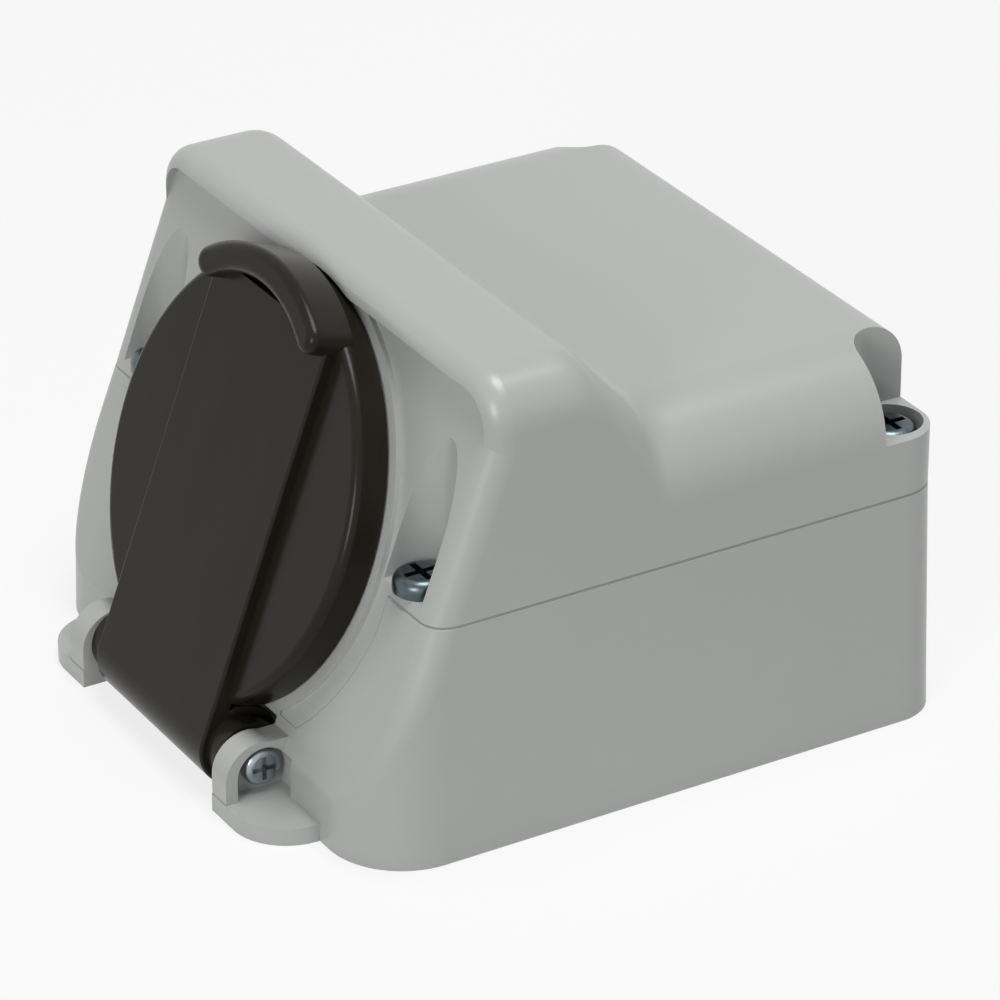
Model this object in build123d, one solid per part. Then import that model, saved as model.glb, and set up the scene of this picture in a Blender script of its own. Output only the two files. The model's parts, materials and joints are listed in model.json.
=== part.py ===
"""Weatherproof wall socket with a sprung flap lid, modelled in millimetres, one solid per named piece.

Frame: the wall is the plane z = 0, +Z leaves it, +X runs along the hinge and -Y is the side that the
socket faces. Every piece is drawn from the front datum y = 0, the foot of the front wall, and moved back
by half the depth at the end."""
from build123d import *
from math import cos, sin, tan, radians
import os

os.makedirs("parts", exist_ok=True)

# Overall sizes of the housing
WIDTH = 82.0            # across the housing at the split
DEPTH = 80.4            # front datum to the rear wall at the split
SPLIT = 30.9            # height of the joint between base and cover
BLOCK_TOP = 48.9        # height of the flat rear part of the cover
HOOD_TOP = 59.9         # height of the hood over the lid
DRAFT = 1.6             # degrees of mould draft on the base
BASE_FLARE = SPLIT * tan(radians(DRAFT))
FRONT_CORNER = 10.1     # plan radius of the base at the front, at the wall
REAR_CORNER = 5.5       # upright rear corners, and the block's rear top edge
BLOCK_SIDE_R = 10.5     # rounding of the block's long top edges
HOOD_SIDE_R = 6.2
FACE_SIDE_R = 3.2
HALF = WIDTH / 2

# Leaning face, lip and slope
TILT = 20.5             # the face leans back by this many degrees
FACE_AT = (10.72, 35.0)     # one point (y, z) of the face
LIP_Y = 17.1            # upright front of the hood
LIP_LOW = 50.0
LIP_Z = 57.5            # underside of the lip
LIP_CHEEK = 2.2         # width of the lip's side cheeks
LIP_R = 3.0
HOOD_BACK = 30.1        # where the hood's top turns down
SLOPE = 47.0            # degrees of the slope behind the hood
TURN_R, FOOT_R = 5.0, 3.0   # roundings at the top and the foot of the slope

# Walls and clearances
WALL = 3.0
COVER_WALL = 2.6
FLOOR = 2.6
JOINT_GAP = 0.12        # visible joint between base and cover
SEAM_BEVEL = 0.3        # bevel of the base's top edge at the joint
THREAD_GAP = 0.04       # radial, screw in its pilot hole
RUN_GAP = 0.05          # radial, running fit of the hinge

# Lid and hinge, in the lid's frame unless said otherwise
LID_AT = (4.45, 33.75)      # centre of the lid's front plane (y, z)
LID_R = 27.1
LID_T = 4.4
LID_PLATE = 2.2
LID_RIM = 2.0
SEAL_IN, SEAL_OUT = 21.6, 23.2
LID_EDGE_R = 1.1
STRAP_HALF = 13.7
STRAP_UP = 1.5
STRAP_TOP = 23.2
STRAP_EDGE_R = 0.35
GRIP_R = 21.5           # middle radius of the arched grip
GRIP_V = 5.2            # height of the arch's centre
GRIP_W = 3.8
GRIP_SPAN = 34.9        # degrees each side of the top
GRIP_UP = 4.3
GRIP_EDGE_R = 1.2
GRIP_BACK = -1.5
AXIS = (-2.1, 5.6)      # hinge axis (y, z)
BARREL_END_R = 4.4
BARREL_HALF = 16.5
LUG_IN, LUG_OUT = 16.9, 20.4
LUG_SEAT = 18.4         # where the hinge screw's head sits
LUG_AT, LUG_R = (-2.9, 5.0), 4.6      # the lug's rounded top (y, z)
LUG_FRONT = -7.6
POCKET_AT, POCKET_R = (-2.4, 5.2), 3.5      # pocket around the hinge screw's head
FOOT_T, FOOT_OUT = 2.3, 29.6
NICHE_R = 5.85
NICHE_WALL = 1.4
SPRING_HALF = 4.6       # half width of the spring's room in the barrel
SPRING_R, WIRE_R, SPRING_PITCH, SPRING_LEG = 2.5, 0.4, 1.1, 4.2

# Screws: head radius, head height, shank radius, shank length
COVER_SCREW = (3.4, 2.2, 1.5, 16.0)
HINGE_SCREW = (2.45, 1.6, 1.5, 10.0)
INSERT_SCREW = (2.4, 1.6, 1.3, 4.9)
BACK_SCREW = (2.1, 1.4, 1.2, 4.8)
TERMINAL_SCREW = (2.0, 1.4, 1.3, 6.0)
FRONT_SCREW_AT = (HALF - 8.1, 12.2)
REAR_SCREW_AT = (HALF - 5.7, DEPTH - 4.6)
SLOT_R = 4.3
SLOT_WALL = 1.8
FRONT_SEAT = 32.2
REAR_LEDGE = 38.3
REAR_SEAT = 35.8
BORE_R = 4.1            # counterbore over the rear screws
NOTCH_X, NOTCH_Y, NOTCH_R = HALF - 10.1, DEPTH - 9.0, 4.0
COLUMN_R = 3.7
GASKET_Y = 15.2         # where the housing gasket's strip begins

# Socket insert, standard sizes of the earthed round well
WELL_R = 19.75
WELL_DEPTH = 17.5
PIN_HALF = 9.5          # half the pin spacing
PIN_HOLE_R = 2.7
SLEEVE_IN, SLEEVE_OUT = 2.5, 3.5
INSERT_V = 1.0          # the socket sits this much above the lid's centre
INSERT_R = 21.1
INSERT_RIM = -5.0
INSERT_FLOOR = 4.0
OPENING_R = 21.4
FLANGE_R, FLANGE_T = 25.0, 2.0
FLANGE_CUT = -21.9
SEAL_T = 1.0
EAR_AT, EAR_R = 25.2, 2.9
EAR_ANGLES = (30, 210)
APRON_R, APRON_HALF = 31.0, 30.5
APRON_LOW, APRON_LOW_MIDDLE = -22.6, -21.4
COLLAR_R, COLLAR_UP = 28.3, 0.7
BACK_R, BACK_WALL, BACK_END = 16.5, 1.5, -45.0
BACK_FLANGE = 2.0
BACK_SCREW_AT = (BACK_R + INSERT_R) / 2
EARTH_HALF, EARTH_T = 3.5, 1.0
GUIDE_R = 17.5

# Wall fixing and cable entry
WALL_HOLES = (HALF - 12.0, (24.0, DEPTH - 14.4))
WALL_HOLE_R = 2.25
CABLE_Z, CABLE_HOLE_R, CABLE_R = 17.0, 8.0, 4.0

c, s, t = cos(radians(TILT)), sin(radians(TILT)), tan(radians(TILT))
OUT = Vector(0, -c, s)
LID = Plane(origin=(0, LID_AT[0], LID_AT[1]), x_dir=(1, 0, 0), z_dir=OUT)


def face_y(z):
    return FACE_AT[0] + (z - FACE_AT[1]) * t


# Distances along the lid's own axis: 0 is its front plane, minus is into the housing
FACE = -(face_y(LID_AT[1]) - LID_AT[0]) * c
BEHIND = FACE - WALL
AXIS_V = (AXIS[0] - LID_AT[0]) * s + (AXIS[1] - LID_AT[1]) * c
AXIS_OFF = -(AXIS[0] - LID_AT[0]) * c + (AXIS[1] - LID_AT[1]) * s
BARREL_R = STRAP_UP - AXIS_OFF
WELL_FLOOR = INSERT_RIM - WELL_DEPTH
INSERT_END = WELL_FLOOR - INSERT_FLOOR
SEAT_GAP = 0.05         # apron of the cover in the base's front wall


def at(x, v, off):
    """A place in the lid's frame: across, up the face, out of it."""
    return LID * Pos(x, v, off)


def tube(r, off_a, off_b, x=0.0, v=0.0, inner=0.0):
    """Round piece along the lid's axis between two distances."""
    body = at(x, v, (off_a + off_b) / 2) * Cylinder(r, abs(off_a - off_b))
    if inner:
        body -= at(x, v, (off_a + off_b) / 2) * Cylinder(inner, abs(off_a - off_b) + 2)
    return body


def slab(x0, x1, v0, v1, off_a, off_b):
    """Box in the lid's frame."""
    return at((x0 + x1) / 2, (v0 + v1) / 2, (off_a + off_b) / 2) * Box(x1 - x0, v1 - v0, abs(off_a - off_b))


def block(x0, x1, y0, y1, z0, z1):
    return Pos((x0 + x1) / 2, (y0 + y1) / 2, (z0 + z1) / 2) * Box(x1 - x0, y1 - y0, z1 - z0)


def poly(points, rounds=()):
    """Face from corners; rounds holds (radius, corner numbers)."""
    face = make_face(Polyline(*points, close=True))
    for radius, corners in rounds:
        wanted = [Vector(*points[i], 0) for i in corners]
        corners_found = [k for k in face.vertices() if any((w - Vector(k)).length < 0.01 for w in wanted)]
        face = fillet(corners_found, radius)
    return face


def across(r, half, inner=0.0, start=0.0):
    """Round piece on the hinge axis, symmetric about the middle or from start to half on both sides."""
    body = Pos(0, *AXIS) * Rot(0, 90, 0) * Cylinder(r, 2 * half)
    if inner:
        body -= Pos(0, *AXIS) * Rot(0, 90, 0) * Cylinder(inner, 2 * half + 2)
    if start:
        body -= block(-start, start, -60, 60, -60, 60)
    return body


def plan(half, front, rear, r_front, r_rear):
    return poly([(-half, front), (half, front), (half, rear), (-half, rear)],
                [(r_front, (0, 1)), (r_rear, (2, 3))])


def both(body):
    return body + mirror(body, Plane.YZ)


def section(y, top, radius, half, low):
    """Section of the cover at one depth: upright sides with rounded shoulders."""
    return Plane(origin=(0, y, top), x_dir=(1, 0, 0), z_dir=(0, 1, 0)) * poly(
        [(-half, 0), (half, 0), (half, top - low), (-half, top - low)], [(radius, (0, 1))])


def loop_at(body, distance, low):
    """Edges of one end face, without the lowest one."""
    return [e for e in body.edges() if abs(distance(e.center())) < 0.01 and e.center().Z > low + 0.1]


def cover_form(inset, low):
    """Body of the cover without its lip; the inset one is its hollow."""
    half, hood, flat = HALF - inset, HOOD_TOP - inset, BLOCK_TOP - inset
    a, turn, foot = radians(SLOPE), TURN_R - inset, FOOT_R + inset
    y0 = HOOD_BACK - TURN_R * tan(a / 2)
    y1 = HOOD_BACK + (hood - flat) / tan(a) + FOOT_R * tan(a / 2)
    shares = (0, 1 / 3, 2 / 3, 1)
    upper = [(y0 + turn * sin(a * k), hood - turn * (1 - cos(a * k))) for k in shares]
    lower = [(y1 - foot * sin(a * k), flat + foot * (1 - cos(a * k))) for k in reversed(shares)]
    middle = [tuple(u + k * (w - u) for u, w in zip(upper[-1], lower[0])) for k in (0.35, 0.7)]
    line = [(y0 - 1.2, hood)] + upper + middle + lower + [(y1 + 1.2, flat)]

    def shoulder(z):
        return HOOD_SIDE_R - inset + (hood - z) / (hood - flat) * (BLOCK_SIDE_R - HOOD_SIDE_R)

    slope = loft([section(y, z, shoulder(z), half, low) for y, z in line])
    front = extrude(section(-40, hood, shoulder(hood), half, low), line[0][0] + 40)
    front -= slab(-60, 60, -90, 90, FACE - (WALL if inset else 0), FACE + 90)
    if not inset:
        front = fillet(loop_at(front, lambda k: LID.to_local_coords(k).Z - FACE, low), FACE_SIDE_R)
    rear = DEPTH - inset
    back = extrude(section(line[-1][0], flat, shoulder(flat), half, low), rear - line[-1][0])
    back = fillet(loop_at(back, lambda k: k.Y - rear, low), REAR_CORNER - inset)
    return front + slope + back


def slot(r, z0, z1):
    """Upright groove in front of a cover screw, open to the front."""
    x, y = FRONT_SCREW_AT
    return both(Pos(x, y, (z0 + z1) / 2) * Cylinder(r, z1 - z0) + block(x - r, x + r, y - 30, y, z0, z1))


def notch(grow, z0, z1):
    """Rear corner pocket of the cover around a screw."""
    x0, y0 = NOTCH_X - grow, NOTCH_Y - grow
    outline = poly([(x0, y0), (HALF + 9, y0), (HALF + 9, DEPTH + 9), (x0, DEPTH + 9)], [(NOTCH_R, (0,))])
    return both(extrude(Pos(0, 0, z0) * outline, z1 - z0))


def pegs(r, z0, z1, places=(FRONT_SCREW_AT, REAR_SCREW_AT)):
    """Upright round pieces at the cover screws."""
    return Compound(children=[Pos(i * x, y, (z0 + z1) / 2) * Cylinder(r, z1 - z0)
                              for x, y in places for i in (-1, 1)])


def screw(size, cross=True):
    """Pan head screw: seat at z = 0, head above, shank below."""
    head_r, head_h, shank_r, length = size
    head = Pos(0, 0, head_h / 2) * Cylinder(head_r, head_h)
    head = fillet(head.edges().filter_by(GeomType.CIRCLE).sort_by(Axis.Z)[-1:], head_h * 0.55)
    shank = Pos(0, 0, -length / 2) * Cylinder(shank_r, length)
    shank = chamfer(shank.edges().filter_by(GeomType.CIRCLE).sort_by(Axis.Z)[:1], shank_r * 0.4)
    body = head + shank
    deep = head_h * 0.7
    for turn in (0, 90) if cross else (0,):
        long = head_r * 1.25 if cross else head_r * 2.2
        body -= Pos(0, 0, head_h - deep / 2 + 0.01) * Rot(0, 0, turn) * Box(long, head_r * 0.25, deep)
    return body


def placed(size, places, cross=True):
    """One screw at every (plane)."""
    return Compound(children=[p.location * screw(size, cross) for p in places])


def lid_plane(x, v, off, toward=-1):
    """Plane in the lid's frame whose normal looks out of the face (1) or into the housing (-1)."""
    o = LID.from_local_coords(Vector(x, v, off))
    return Plane(origin=o, x_dir=(1, 0, 0), z_dir=OUT * toward)


pieces = {}
rim = SPLIT - JOINT_GAP / 2
cover_low = SPLIT + JOINT_GAP / 2

# Base shell: tapered box with the leaning front, hinge lugs, screw columns and openings
outer = extrude(plan(HALF + BASE_FLARE, 0, DEPTH + BASE_FLARE, FRONT_CORNER, REAR_CORNER + BASE_FLARE),
                rim, taper=DRAFT)
outer -= slab(-60, 60, -80, 80, FACE, FACE + 60)
outer = fillet([e for e in outer.edges() if abs(LID.to_local_coords(e.center()).Z - FACE) < 0.01
                and abs(e.center().X) > HALF - 8 and e.center().Z < rim - 0.1], FACE_SIDE_R)
outer = chamfer([e for e in outer.edges() if abs(e.center().Z - rim) < 0.01], SEAM_BEVEL)
inner_plan = plan(HALF + BASE_FLARE - WALL - 0.1, WALL, DEPTH + BASE_FLARE - WALL - 0.1,
                  FRONT_CORNER - WALL, REAR_CORNER + BASE_FLARE - WALL)
hollow = extrude(Pos(0, 0, FLOOR) * inner_plan, SPLIT, taper=DRAFT)
hollow -= slab(-60, 60, -80, 80, BEHIND, BEHIND + 60)
base = outer - hollow
base += across(NICHE_R + NICHE_WALL, LUG_IN + NICHE_WALL) & outer
base += pegs(COLUMN_R, FLOOR - 1, rim) & outer

foot = extrude(poly([(LUG_IN, 8), (FOOT_OUT, 8), (FOOT_OUT, LUG_FRONT), (LUG_IN, LUG_FRONT)],
                    [(7.4, (2,))]), FOOT_T)
ear_side = Plane(origin=(LUG_IN, *LUG_AT), x_dir=(0, 1, 0), z_dir=(1, 0, 0))
ear = extrude(ear_side * Circle(LUG_R), LUG_OUT - LUG_IN)
ear += block(LUG_IN, LUG_OUT, LUG_AT[0] - LUG_R, LUG_AT[0] + 2, 0, LUG_AT[1])
ear += block(LUG_IN, LUG_OUT, LUG_AT[0], 8, 0, LUG_AT[1] + LUG_R - 0.3)
base += both((foot + ear) & block(0, 60, -30, 60, 0, 40)) - hollow
base -= across(NICHE_R, LUG_IN)
base -= block(-LUG_IN, LUG_IN, -30, 0, -1, 8)
base -= across(HINGE_SCREW[2] + THREAD_GAP, 30, start=LUG_IN - 1)
pocket = Plane(origin=(LUG_SEAT, *POCKET_AT), x_dir=(0, 1, 0), z_dir=(1, 0, 0)) * (
    Circle(POCKET_R) + Pos(0, -POCKET_AT[1] / 2) * Rectangle(2 * POCKET_R, POCKET_AT[1]))
base -= both(extrude(pocket, 4) & block(0, 60, -30, 60, FOOT_T, 60))
seat = tube(APRON_R + SEAT_GAP, FACE + 3, BEHIND - SEAT_GAP)
seat &= slab(-APRON_HALF - SEAT_GAP, APRON_HALF + SEAT_GAP, APRON_LOW - SEAT_GAP, 40, FACE + 3, BEHIND - 2)
seat -= slab(-LUG_IN - 0.4, LUG_IN + 0.4, -60, APRON_LOW_MIDDLE - SEAT_GAP, FACE + 5, BEHIND - 3)
base -= seat
base -= pegs(COVER_SCREW[2] + THREAD_GAP, 14.0, 60)
groove = extrude(Pos(0, 0, rim - 1.2) * (plan(HALF - 0.85, 5, DEPTH - 0.85, 1, REAR_CORNER - 0.85)
                                         - plan(HALF - 2.25, 0, DEPTH - 2.25, 1, REAR_CORNER - 2.25)), 1.19 + JOINT_GAP)
groove &= block(-60, 60, GASKET_Y - 0.2, DEPTH, 0, 60)
base -= groove
for x in (-WALL_HOLES[0], WALL_HOLES[0]):
    for y in WALL_HOLES[1]:
        base -= Pos(x, y, 0) * Cylinder(WALL_HOLE_R, 20)
base -= Pos(0, DEPTH, CABLE_Z) * Rot(90, 0, 0) * Cylinder(CABLE_HOLE_R, 20)
pieces["base_shell"] = base
pieces["housing_gasket"] = groove & block(-60, 60, GASKET_Y, DEPTH, 0, 60)

# Top cover: block, hood, lip, apron and collar, hollowed, with the screw grooves and corner pockets
shape = cover_form(0, cover_low)
lip = extrude(section(LIP_Y, HOOD_TOP, HOOD_SIDE_R, HALF, LIP_LOW), 24 - LIP_Y)
lip = fillet(loop_at(lip, lambda k: k.Y - LIP_Y, LIP_LOW), LIP_R)
under = Plane(origin=(0, 60, 0), x_dir=(1, 0, 0), z_dir=(0, -1, 0)) * poly(
    [(-HALF + LIP_CHEEK, 20), (HALF - LIP_CHEEK, 20), (HALF - LIP_CHEEK, LIP_Z), (-HALF + LIP_CHEEK, LIP_Z)],
    [(4.0, (2, 3))])
lip -= extrude(under, 90)
lip -= tube(LID_R + 0.6, FACE, FACE + 20)
shape += lip
cover = shape - cover_form(COVER_WALL, cover_low - 5)
cover += shape & (slot(SLOT_R + SLOT_WALL, cover_low, 80)
                  + notch(SLOT_WALL, REAR_LEDGE - 2.0, 80)
                  + pegs(BORE_R + 1.5, cover_low, REAR_LEDGE, (REAR_SCREW_AT,)))
apron = tube(APRON_R, FACE, BEHIND) & slab(-APRON_HALF, APRON_HALF, APRON_LOW, 8, FACE + 3, BEHIND - 2)
apron -= slab(-LUG_IN - 0.7, LUG_IN + 0.7, -60, APRON_LOW_MIDDLE, FACE + 5, BEHIND - 3)
collar = tube(COLLAR_R, FACE + COLLAR_UP, FACE - 1) & slab(-60, 60, APRON_LOW, 40, FACE + 3, FACE - 3)
collar -= slab(-LUG_IN - 0.7, LUG_IN + 0.7, -60, APRON_LOW_MIDDLE, FACE + 5, FACE - 3)
cover += apron + collar
cover -= tube(OPENING_R, FACE + 5, BEHIND - 2, v=INSERT_V)
cover -= slot(SLOT_R, FRONT_SEAT, 90)
cover -= notch(0, REAR_LEDGE, 90)
cover -= pegs(BORE_R, REAR_SEAT, 60, (REAR_SCREW_AT,))
cover -= pegs(COVER_SCREW[2] + 0.2, 20, 60)
ears = [(EAR_AT * cos(radians(a)), INSERT_V + EAR_AT * sin(radians(a))) for a in EAR_ANGLES]
for x, v in ears:
    cover -= tube(INSERT_SCREW[2] + THREAD_GAP, BEHIND - 2, BEHIND + 2.1, x, v)
pieces["top_cover"] = cover

# Screws of the cover and pins of the hinge
tops = [Plane(origin=(i * x, y, z)) for i in (-1, 1)
        for (x, y), z in ((FRONT_SCREW_AT, FRONT_SEAT), (REAR_SCREW_AT, REAR_SEAT))]
pieces["cover_screws"] = placed(COVER_SCREW, tops)
pivots = [Plane(origin=(i * LUG_SEAT, *AXIS), x_dir=(0, 1, 0), z_dir=(i, 0, 0)) for i in (-1, 1)]
pieces["hinge_screws"] = placed(HINGE_SCREW, pivots)

# Lid: disc, strap, barrel and arched grip
disc = tube(LID_R, 0, -LID_T)
disc = fillet(disc.edges().filter_by(GeomType.CIRCLE).sort_by(Axis((0, 0, 0), OUT))[-1:], LID_EDGE_R)
lid = disc - tube(LID_R - LID_RIM, -LID_PLATE, -LID_T - 1)
strap = slab(-STRAP_HALF, STRAP_HALF, AXIS_V, STRAP_TOP, STRAP_UP, -0.8)
strap = fillet([e for e in strap.edges() if abs(LID.to_local_coords(e.center()).Z - STRAP_UP) < 0.01
                and abs(e.center().X) > STRAP_HALF - 0.1], STRAP_EDGE_R)
lid += strap
lid += slab(-STRAP_HALF, STRAP_HALF, AXIS_V, AXIS_V + 3.8, STRAP_UP - 0.6, -LID_T + 0.2)
barrel = across(BARREL_R, STRAP_HALF)
lid += fillet(barrel.edges().filter_by(GeomType.CIRCLE), STRAP_EDGE_R) + across(BARREL_END_R, BARREL_HALF)
arch = Plane(origin=LID.from_local_coords(Vector(0, GRIP_V, GRIP_BACK)), x_dir=(1, 0, 0), z_dir=OUT)
wedge = make_face(Polyline((0, 0), (60 * sin(radians(GRIP_SPAN)), 60 * cos(radians(GRIP_SPAN))), (0, 90),
                           (-60 * sin(radians(GRIP_SPAN)), 60 * cos(radians(GRIP_SPAN))), close=True))
band = (Circle(GRIP_R + GRIP_W / 2) - Circle(GRIP_R - GRIP_W / 2)) & wedge
for i in (-1, 1):
    band += Pos(i * GRIP_R * sin(radians(GRIP_SPAN)), GRIP_R * cos(radians(GRIP_SPAN))) * Circle(GRIP_W / 2)
grip = extrude(arch * band, GRIP_UP - GRIP_BACK)
grip = fillet([e for e in grip.edges() if abs(LID.to_local_coords(e.center()).Z - GRIP_UP) < 0.01],
              GRIP_EDGE_R)
lid += grip
lid -= across(3.4, SPRING_HALF)
lid -= slab(-SPRING_HALF, SPRING_HALF, AXIS_V - 8, AXIS_V + 5.0, AXIS_OFF + 0.8, -12)
lid -= across(HINGE_SCREW[2] + RUN_GAP, 30, start=LUG_SEAT - HINGE_SCREW[3] - 0.4)
pieces["lid"] = lid
pieces["lid_seal"] = tube(SEAL_OUT, -LID_PLATE, -LID_T, inner=SEAL_IN)

# Torsion spring of one wire: coil on the hinge axis, one leg into the niche, one behind the lid
turns = 5.75
coil = Pos(-turns * SPRING_PITCH / 2, *AXIS) * Rot(180 - TILT, 0, 0) * Rot(0, 90, 0) * Helix(
    SPRING_PITCH, turns * SPRING_PITCH, SPRING_R)
wire = Wire([Edge.make_line(coil @ 0 - (coil % 0) * SPRING_LEG, coil @ 0), *coil.edges(),
             Edge.make_line(coil @ 1, coil @ 1 + (coil % 1) * SPRING_LEG)])
pieces["lid_spring"] = sweep(Plane(origin=wire @ 0, z_dir=wire % 0) * Circle(WIRE_R), path=wire)

# Socket insert: rim, well, floor with the pin holes, flange and ears
flange_off = BEHIND - SEAL_T


def flange_plate(off_a, off_b, grow=0.0):
    body = tube(FLANGE_R + grow, off_a, off_b, v=INSERT_V)
    for x, v in ears:
        body += tube(EAR_R + grow, off_a, off_b, x, v)
    return body & slab(-60, 60, FLANGE_CUT, 60, off_a + 2, off_b - 2)


insert = tube(INSERT_R, INSERT_RIM, INSERT_END, v=INSERT_V) + flange_plate(flange_off, flange_off - FLANGE_T)
insert -= tube(WELL_R, INSERT_RIM + 1, WELL_FLOOR, v=INSERT_V)
for i in (-1, 1):       # side guides of the well, with a groove each
    near, far = sorted((i * GUIDE_R, i * WELL_R * 1.02))
    guide = slab(near, far, INSERT_V - 4, INSERT_V + 4, INSERT_RIM - 2, WELL_FLOOR)
    guide -= slab(-30, 30, INSERT_V - 2, INSERT_V + 2, INSERT_RIM, WELL_FLOOR)
    insert += guide & tube(INSERT_R - 0.2, INSERT_RIM, INSERT_END, v=INSERT_V)
    insert -= tube(PIN_HOLE_R, WELL_FLOOR + 1, INSERT_END - 1, i * PIN_HALF, INSERT_V)
    insert -= slab(-EARTH_HALF - 0.2, EARTH_HALF + 0.2, min(INSERT_V + i * 16.0, INSERT_V + i * 19.7),
                   max(INSERT_V + i * 16.0, INSERT_V + i * 19.7), INSERT_RIM - 2.5, INSERT_END - 1)
for x, v in ears:
    insert -= tube(INSERT_SCREW[2] + 0.2, flange_off + 1, flange_off - FLANGE_T - 1, x, v)
for i in (-1, 1):
    insert -= tube(BACK_SCREW[2] + THREAD_GAP, INSERT_END - 1, INSERT_END + 3.0,
                   i * BACK_SCREW_AT * cos(radians(40)), INSERT_V + i * BACK_SCREW_AT * sin(radians(40)))
pieces["socket_insert"] = insert
gasket = flange_plate(BEHIND, flange_off) - tube(OPENING_R, BEHIND + 2, flange_off - 2, v=INSERT_V)
for x, v in ears:
    gasket -= tube(INSERT_SCREW[2] + 0.2, BEHIND + 2, flange_off - 2, x, v)
pieces["insert_gasket"] = gasket
pieces["insert_screws"] = placed(INSERT_SCREW, [lid_plane(x, v, flange_off - FLANGE_T) for x, v in ears])

# Cup behind the well, around the live parts
cup = tube(INSERT_R, INSERT_END, INSERT_END - BACK_FLANGE, v=INSERT_V)
cup += tube(BACK_R, INSERT_END, BACK_END, v=INSERT_V)
cup -= tube(BACK_R - BACK_WALL, INSERT_END + 1, BACK_END + 2, v=INSERT_V)
cup -= slab(-EARTH_HALF - 0.2, EARTH_HALF + 0.2, INSERT_V - 20.0, INSERT_V + 20.0, INSERT_END + 1,
            INSERT_END - EARTH_T - 0.2)
back_at = [(i * BACK_SCREW_AT * cos(radians(40)), INSERT_V + i * BACK_SCREW_AT * sin(radians(40)))
           for i in (-1, 1)]
for x, v in back_at:
    cup -= tube(BACK_SCREW[2] + 0.2, INSERT_END + 1, INSERT_END - 5, x, v)
posts = [(-PIN_HALF, INSERT_V + 6.2), (PIN_HALF, INSERT_V + 6.2), (0, INSERT_V - 3.5)]
for x, v in posts:
    cup -= tube(2.4, BACK_END + 4, BACK_END - 2, x, v)
pieces["insert_back"] = cup
pieces["back_screws"] = placed(BACK_SCREW, [lid_plane(x, v, INSERT_END - BACK_FLANGE) for x, v in back_at])


# Live parts: sleeve, terminal block with a wire hole and a clamp, and the spring clip around the sleeve
SLEEVE_TOP, SLEEVE_END = INSERT_END - 0.5, -40.5
BLOCK_OFF = (-32.0, -38.0)


def terminal_room(x, v):
    """Wire hole and screw hole of one terminal block."""
    room = at(x, v, -35.0) * Rot(0, 90, 0) * Cylinder(1.7, 20)
    return room + tube(TERMINAL_SCREW[2] + THREAD_GAP, -34, BLOCK_OFF[1] - 1, x, v)


def sleeve(i):
    body = tube(SLEEVE_OUT, SLEEVE_TOP, SLEEVE_END, i * PIN_HALF, INSERT_V)
    x, v = i * PIN_HALF, INSERT_V + 6.2
    body += slab(x - 2.4, x + 2.4, INSERT_V + 2.9, v + 2.4, *BLOCK_OFF)
    body -= tube(SLEEVE_IN, SLEEVE_TOP + 1, SLEEVE_END - 1, i * PIN_HALF, INSERT_V)
    body -= slab(x - 0.4, x + 0.4, INSERT_V - 6, INSERT_V, SLEEVE_TOP + 1, SLEEVE_END + 3)
    return body - terminal_room(x, v)


pieces["line_contact"] = sleeve(-1)
pieces["neutral_contact"] = sleeve(1)
clip = tube(SLEEVE_OUT + 0.75, SLEEVE_TOP - 1.0, SLEEVE_TOP - 4.0, PIN_HALF, INSERT_V, SLEEVE_OUT + 0.05)
clip -= slab(PIN_HALF - 1.5, PIN_HALF + 1.5, INSERT_V - 8, INSERT_V, SLEEVE_TOP, SLEEVE_TOP - 6)
pieces["contact_springs"] = Compound(children=[clip, mirror(clip, Plane.YZ)])

earth = slab(-EARTH_HALF, EARTH_HALF, INSERT_V - 19.5, INSERT_V + 19.5, INSERT_END, INSERT_END - EARTH_T)
for i in (-1, 1):
    a, b = sorted((INSERT_V + i * 18.5, INSERT_V + i * 19.5))
    earth += slab(-EARTH_HALF, EARTH_HALF, a, b, INSERT_END - EARTH_T, INSERT_RIM - 3.5)
    bow = at(0, INSERT_V + i * 21.2, -13.0) * Rot(0, 90, 0) * Cylinder(5.0, 2 * EARTH_HALF - 1)
    a, b = sorted((INSERT_V + i * 10, INSERT_V + i * 19.0))
    earth += bow & slab(-EARTH_HALF, EARTH_HALF, a, b, -6, -20)
x, v = posts[2]
earth += slab(x - 2.6, x + 2.6, v - 2.6, v + 2.6, INSERT_END, BLOCK_OFF[1])
earth -= terminal_room(x, v)
pieces["earth_clip"] = earth
post_tops = [lid_plane(x, v, BLOCK_OFF[1] - 1.5) for x, v in posts]
pieces["terminal_screws"] = placed(TERMINAL_SCREW, post_tops, False)
pieces["terminal_clamps"] = Compound(children=[
    slab(x - 2.3, x + 2.3, v - 2.3, v + 2.3, BLOCK_OFF[1] - 0.3, BLOCK_OFF[1] - 1.5)
    - tube(TERMINAL_SCREW[2] + 0.1, -30, -42, x, v) for x, v in posts])

# Soft bushing of the rear cable entry
wall_in, wall_out = DEPTH - WALL, DEPTH + 0.7
place = Pos(0, 0, CABLE_Z) * Rot(-90, 0, 0)
bush = place * (Pos(0, 0, (wall_in + wall_out) / 2) * Cylinder(CABLE_HOLE_R - 0.02, wall_out - wall_in + 2)
                + Pos(0, 0, wall_in - 0.9) * Cylinder(CABLE_HOLE_R + 1.6, 1.6)
                + Pos(0, 0, wall_out + 1.0) * Cylinder(CABLE_HOLE_R + 1.6, 1.8))
bush -= place * Pos(0, 0, wall_in) * Cylinder(CABLE_R, 30)
pieces["cable_grommet"] = bush

bad = 0
for name, body in pieces.items():
    solids = body.solids()
    ok = all(k.is_valid for k in solids)
    print(f"{name:18s} solids {len(solids)} volume {sum(k.volume for k in solids) / 1000:8.3f} cm3 valid {ok}")
    bad += not ok
    moved = Pos(0, -DEPTH / 2, 0) * (Compound(children=list(solids)) if len(solids) > 1 else solids[0])
    moved.label = name
    export_step(moved, f"parts/{name}.step")
print("invalid pieces", bad)
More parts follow.
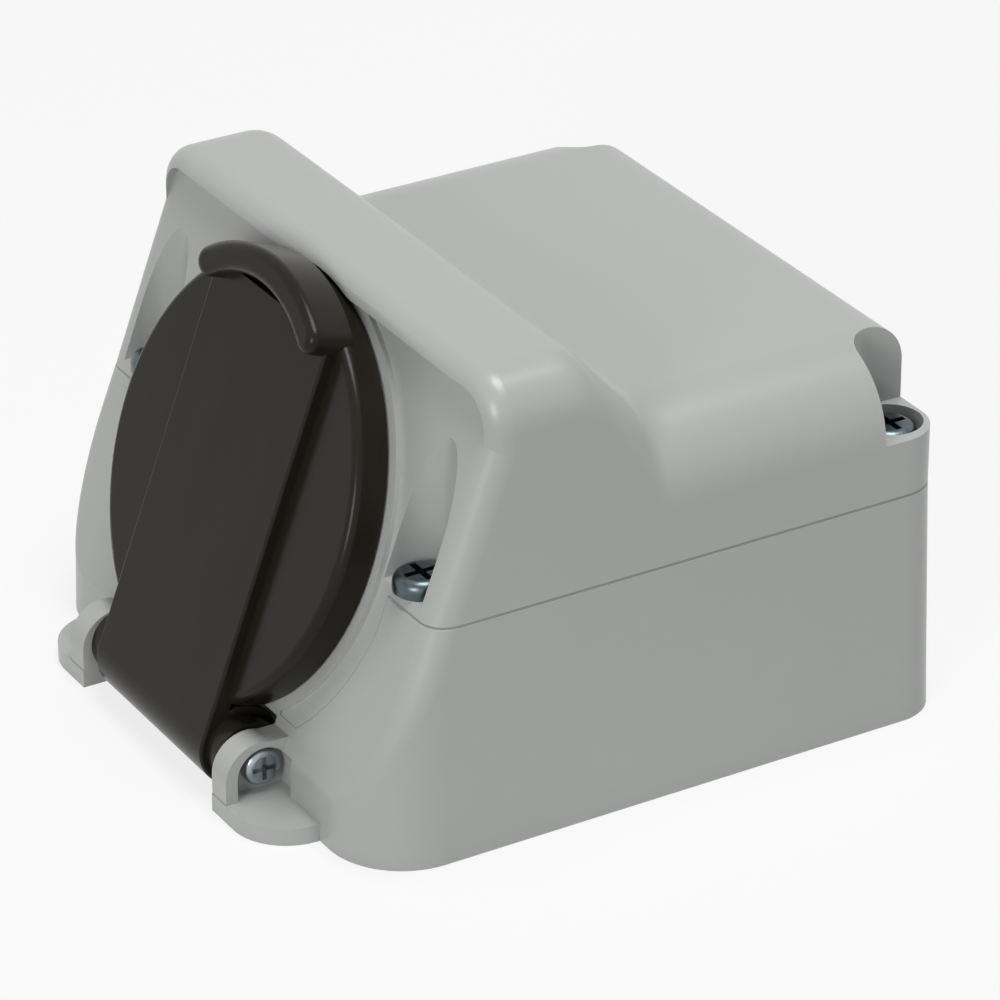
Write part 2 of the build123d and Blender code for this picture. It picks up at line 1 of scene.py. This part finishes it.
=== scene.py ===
# %% [markdown]
# Weatherproof wall socket. A grey moulded housing stands on its wall face, and a dark round flap lid
# hangs on two screws in front of the socket. Every piece comes from the CAD frame at its real size,
# so this script gives each one its finish, and sets up the studio and the camera.

import json

import bmesh
import bpy
from mathutils import Matrix, Vector


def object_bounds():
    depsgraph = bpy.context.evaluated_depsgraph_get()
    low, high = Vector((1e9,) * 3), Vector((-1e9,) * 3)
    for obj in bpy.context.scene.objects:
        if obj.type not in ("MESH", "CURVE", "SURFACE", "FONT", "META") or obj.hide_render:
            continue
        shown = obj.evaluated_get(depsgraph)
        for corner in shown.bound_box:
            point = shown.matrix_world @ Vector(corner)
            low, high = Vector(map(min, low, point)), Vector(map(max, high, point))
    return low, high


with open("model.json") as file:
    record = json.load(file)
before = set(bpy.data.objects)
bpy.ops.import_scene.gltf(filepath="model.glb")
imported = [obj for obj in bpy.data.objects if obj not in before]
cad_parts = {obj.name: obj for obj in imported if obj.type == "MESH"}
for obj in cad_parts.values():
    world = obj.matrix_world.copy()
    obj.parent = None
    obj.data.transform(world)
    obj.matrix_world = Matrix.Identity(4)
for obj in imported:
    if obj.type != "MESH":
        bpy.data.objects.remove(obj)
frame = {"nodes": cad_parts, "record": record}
cad_low, cad_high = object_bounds()
size_mm = [round(1000 * (high - low), 1) for low, high in zip(cad_low, cad_high)]
print("frame:", len(frame["nodes"]), "pieces, size in mm", size_mm)

# %% [markdown]
# The photograph was taken from far away with a long lens: the housing's edges hardly converge. The
# camera stands about 67 cm from the object, to the right of its front and 28 degrees above it.

# %% Camera
CAMERA_AT = Vector((0.50310, -0.29613, 0.33243))
LOOK = Vector((-0.75893, 0.44993, -0.47073))
UP = Vector((-0.40381, 0.24192, 0.88228))
LENS_MM, SENSOR_MM = 192.7, 36.0
CLIP_START_M = 0.01

camera_data = bpy.data.cameras.new("camera")
camera_data.lens = LENS_MM
camera_data.sensor_width = SENSOR_MM
camera_data.clip_start = CLIP_START_M
camera = bpy.data.objects.new("camera", camera_data)
bpy.context.scene.collection.objects.link(camera)
side = LOOK.cross(UP).normalized()
turn = Matrix((side, side.cross(LOOK).normalized(), -LOOK.normalized())).transposed().to_4x4()
camera.matrix_world = Matrix.Translation(CAMERA_AT) @ turn
bpy.context.scene.camera = camera
print("camera distance in m:", round(CAMERA_AT.length, 3))

# %% [markdown]
# Finishes are node graphs. A small class wraps a node's output, so that masks can be mixed with
# ordinary arithmetic, and one method makes every other kind of node.


# %% Helpers for finishes
class Wire:
    """The output of a node, with the arithmetic that the finishes use."""

    def __init__(self, finish, socket):
        self.finish, self.socket = finish, socket

    def _maths(self, kind, first, second):
        return self.finish.node("ShaderNodeMath", {"operation": kind}, {0: first, 1: second})

    def __add__(self, other):
        return self._maths("ADD", self, other)

    def __mul__(self, other):
        return self._maths("MULTIPLY", self, other)

    __radd__, __rmul__ = __add__, __mul__


class Finish:
    """A material with its Principled shader and short calls for the nodes behind it."""

    def __init__(self, name, **plain):
        self.material = bpy.data.materials.new(name)
        self.material.use_nodes = True
        self.tree = self.material.node_tree
        self.shader = self.tree.nodes["Principled BSDF"]
        self.output = self.tree.nodes["Material Output"]
        self.place = self.node("ShaderNodeTexCoord", out="Object")
        for socket, value in plain.items():
            self.shader.inputs[socket.replace("_", " ")].default_value = value

    def node(self, kind, settings=None, inputs=None, out=0):
        made = self.tree.nodes.new(kind)
        for name, value in (settings or {}).items():
            setattr(made, name, value)
        for name, value in (inputs or {}).items():
            if isinstance(value, Wire):
                self.tree.links.new(value.socket, made.inputs[name])
            else:
                made.inputs[name].default_value = value
        return Wire(self, made.outputs[out])

    def feed(self, **wires):
        for socket, wire in wires.items():
            self.tree.links.new(wire.socket, self.shader.inputs[socket.replace("_", " ")])

    def noise(self, per_metre, detail=2.0, stretch=(1, 1, 1)):
        """Soft noise from 0 to 1 with so many patches to the metre."""
        spot = self.node("ShaderNodeMapping", None, {"Vector": self.place, "Scale": stretch})
        return self.node("ShaderNodeTexNoise", None, {"Vector": spot, "Scale": per_metre, "Detail": detail})

    def colours(self, mask, dark, light):
        return self.node("ShaderNodeMix", {"data_type": "RGBA"},
                         {0: mask, 6: (*dark, 1), 7: (*light, 1)}, out=2)

    def bump(self, height, deep_mm, strength=1.0):
        return self.node("ShaderNodeBump", None,
                         {"Height": height, "Distance": deep_mm / 1000, "Strength": strength})


print("finish helpers ready")

# %% [markdown]
# The housing is glossy light grey plastic, as it comes from a polished mould: nearly even in colour,
# with a faint orange peel that breaks up the highlights, and slightly duller where hands wiped it.

# %% Housing finish
POLYMER_IOR = 1.5  # plastics and rubber alike
CLOUDS_PER_M, PEEL_PER_M, GRAIN_PER_M = 35, 420, 2600

housing = Finish("housing_plastic", IOR=POLYMER_IOR)
cloudy = housing.noise(CLOUDS_PER_M, 3)
peel = housing.noise(PEEL_PER_M, 2)
grain = housing.noise(GRAIN_PER_M, 1)
housing.feed(
    Base_Color=housing.colours(cloudy, (0.430, 0.440, 0.425), (0.455, 0.465, 0.450)),
    Roughness=0.26 + 0.08 * cloudy + 0.05 * grain,
    Normal=housing.bump(peel * 0.8 + grain * 0.2, 0.02, 0.35),
)
print("housing finish:", len(housing.tree.nodes), "nodes")

# %% [markdown]
# The lid is a dark brown-grey plastic. It mirrors little of the white studio, so its specular level is
# low, but it is smooth, so its edges still show thin bright lines. Flow lines of the melt run up it, from
# the hinge to the grip, and a fine grain breaks up its highlights.

# %% Lid finish
FLOW_PER_M, FLOW_STRETCH = 60, (3, 1, 1)
LID_GRAIN_PER_M = 2200

lid_plastic = Finish("lid_plastic", IOR=POLYMER_IOR, Specular_IOR_Level=0.13)
flow = lid_plastic.noise(FLOW_PER_M, 3, FLOW_STRETCH)
lid_grain = lid_plastic.noise(LID_GRAIN_PER_M, 2)
lid_plastic.feed(
    Base_Color=lid_plastic.colours(flow, (0.0140, 0.0120, 0.0085), (0.0200, 0.0175, 0.0130)),
    Roughness=0.17 + 0.08 * flow + 0.05 * lid_grain,
    Normal=lid_plastic.bump(lid_grain * 0.3 + flow * 0.7, 0.03, 0.35),
)
print("lid finish:", len(lid_plastic.tree.nodes), "nodes")

# %% [markdown]
# Screws and clips are steel with a thin zinc layer. Zinc is bright but cloudy, so both its colour and its
# gloss vary in small patches. The four cover screws are painted darker than the hinge screws: a painted
# dark reflection and painted shade from their recesses.

# %% Metal finishes
PATCHES_PER_M, PLATE_GRAIN_PER_M = 900, 3000
DRAWN_PER_M = 1500
TARNISH_PER_M, BRASS_GRAIN_PER_M = 350, 1800


def plated(name, dark, light):
    """Steel with a cloudy plated layer."""
    layer = Finish(name, Metallic=1.0)
    patches = layer.noise(PATCHES_PER_M, 4)
    layer.feed(
        Base_Color=layer.colours(patches, dark, light),
        Roughness=0.20 + 0.22 * patches,
        Normal=layer.bump(layer.noise(PLATE_GRAIN_PER_M, 2), 0.02, 0.4),
    )
    return layer


zinc = plated("zinc_plated_steel", (0.26, 0.32, 0.35), (0.50, 0.54, 0.56))
# Zinc painted dark for the cover screws: painted reflection of dark surroundings and painted recess shade.
zinc_painted_dark = plated("zinc_steel_painted_dark_reflection", (0.035, 0.055, 0.065), (0.16, 0.19, 0.20))
wire_steel = Finish("spring_steel", Metallic=1.0)
drawn = wire_steel.noise(DRAWN_PER_M, 2)
wire_steel.feed(
    Base_Color=wire_steel.colours(drawn, (0.38, 0.38, 0.38), (0.55, 0.55, 0.54)),
    Roughness=0.25 + 0.15 * drawn,
)
brass = Finish("contact_brass", Metallic=1.0)
tarnish = brass.noise(TARNISH_PER_M, 4)
brass.feed(
    Base_Color=brass.colours(tarnish, (0.50, 0.34, 0.13), (0.74, 0.56, 0.25)),
    Roughness=0.22 + 0.25 * tarnish,
    Normal=brass.bump(brass.noise(BRASS_GRAIN_PER_M, 2), 0.02, 0.3),
)
print("metal finishes: 4")

# %% [markdown]
# Seals and the cable bushing are black rubber with a dusty bloom. The insert is matte grey plastic
# with a spark-eroded grain, which hides scratches from the plug.

# %% Rubber and insert finishes
BLOOM_PER_M, RUBBER_GRAIN_PER_M = 250, 1600
ERODED_PER_M = 3000

rubber = Finish("black_rubber", IOR=POLYMER_IOR)
bloom = rubber.noise(BLOOM_PER_M, 4)
rubber.feed(
    Base_Color=rubber.colours(bloom, (0.012, 0.012, 0.012), (0.030, 0.030, 0.029)),
    Roughness=0.55 + 0.2 * bloom,
    Normal=rubber.bump(rubber.noise(RUBBER_GRAIN_PER_M, 3), 0.05, 0.5),
)
insert_plastic = Finish("insert_plastic", IOR=POLYMER_IOR)
eroded = insert_plastic.noise(ERODED_PER_M, 3)
insert_plastic.feed(
    Base_Color=insert_plastic.colours(eroded, (0.085, 0.088, 0.088), (0.11, 0.113, 0.113)),
    Roughness=0.45 + 0.15 * eroded,
    Normal=insert_plastic.bump(eroded, 0.04, 0.5),
)
print("rubber and insert finishes: 2")

# %% [markdown]
# Each CAD piece takes the finish of what it is made of. The record names a material slot for every
# piece, so the slots decide. Only the cover screws differ from the other screws of their slot: their
# zinc is painted darker, as painted reflection and painted shade.

# %% Finish every piece
FINISHES = {
    "housing": housing,
    "lid_dark": lid_plastic,
    "insert_grey": insert_plastic,
    "soft_seal": rubber,
    "screw_steel": zinc,
    "spring_steel": wire_steel,
    "contact_brass": brass,
}
for part in frame["record"]["subparts"]:
    mesh = frame["nodes"][part["node"]].data
    mesh.materials.clear()
    # The cover screws take the zinc painted dark, a painted reflection and painted shade.
    finish = zinc_painted_dark if part["node"] == "cover_screws" else FINISHES[part["material_slot"]]
    mesh.materials.append(finish.material)

# %% [markdown]
# The studio is a white sweep. The camera, reflections and clear pieces see the world and the floor as
# white, and the other light is weaker, so that the object keeps its own shades. The floor still takes
# a soft shadow.


# %% Floor and world
def backdrop_rays(tree):
    """1 for the rays that see the backdrop itself: from the camera, off gloss and through glass."""
    paths = tree.nodes.new("ShaderNodeLightPath")
    seen = paths.outputs["Is Camera Ray"]
    for kind in ("Is Glossy Ray", "Is Transmission Ray"):
        either = tree.nodes.new("ShaderNodeMath")
        either.operation = "MAXIMUM"
        tree.links.new(seen, either.inputs[0])
        tree.links.new(paths.outputs[kind], either.inputs[1])
        seen = either.outputs[0]
    return seen


FLOOR_HALF = 3.0
FLOOR_GLOW = 0.8
FLOOR_SHADE = (0.8, 0.8, 0.8, 1)
WHITE = (1, 1, 1, 1)
white_floor = Finish("white_floor", Base_Color=FLOOR_SHADE, Roughness=0.9)
glow = white_floor.node("ShaderNodeEmission", None, {"Color": WHITE, "Strength": 1.0})
share = Wire(white_floor, backdrop_rays(white_floor.tree)) * FLOOR_GLOW
surface = Wire(white_floor, white_floor.shader.outputs[0])
mixed = white_floor.node("ShaderNodeMixShader", None, {0: share, 1: surface, 2: glow})
white_floor.tree.links.new(mixed.socket, white_floor.output.inputs["Surface"])

floor_shape = bmesh.new()
bmesh.ops.create_grid(floor_shape, x_segments=1, y_segments=1, size=FLOOR_HALF)
floor_mesh = bpy.data.meshes.new("floor")
floor_shape.to_mesh(floor_mesh)
floor_shape.free()
floor_mesh.materials.append(white_floor.material)
floor = bpy.data.objects.new("floor", floor_mesh)
bpy.context.scene.collection.objects.link(floor)

WORLD_LIGHT = 0.12
WORLD_TINT = (0.93, 0.96, 1.0, 1)
world = bpy.data.worlds.new("studio")
bpy.context.scene.world = world
world.use_nodes = True
tree = world.node_tree
soft = tree.nodes["Background"]
soft.inputs["Color"].default_value = WORLD_TINT
soft.inputs["Strength"].default_value = WORLD_LIGHT
white = tree.nodes.new("ShaderNodeBackground")
white.inputs["Color"].default_value = WHITE
pick = tree.nodes.new("ShaderNodeMixShader")
tree.links.new(backdrop_rays(tree), pick.inputs[0])
tree.links.new(soft.outputs[0], pick.inputs[1])
tree.links.new(white.outputs[0], pick.inputs[2])
tree.links.new(pick.outputs[0], tree.nodes["World Output"].inputs["Surface"])
print("floor half size in m:", FLOOR_HALF)

# %% [markdown]
# Two soft lamps. The one overhead makes the tops the brightest faces, and the hood throws its shadow
# over the lid. The other stands low in front, to the right, and keeps the leaning face, the lugs and the
# long side readable.

# %% Lamps
LAMPS = (
    ("overhead", (0.10, 0.10, 1.10), 0.5, 8.6),
    ("front_right", (0.60, -0.95, 0.42), 0.4, 5.0),
)
AIM = Vector((0, 0, 0.03))
for name, place, across, watts in LAMPS:
    lamp = bpy.data.lights.new(name, "AREA")
    lamp.shape, lamp.size, lamp.energy = "SQUARE", across, watts
    holder = bpy.data.objects.new(name, lamp)
    holder.location = place
    holder.rotation_euler = (AIM - Vector(place)).to_track_quat("-Z", "Y").to_euler()
    bpy.context.scene.collection.objects.link(holder)
print("lamps:", len(LAMPS))

# %% [markdown]
# Last, the colours are shown as they are.

# %% Finish the scene
bpy.context.scene.view_settings.view_transform = "Standard"
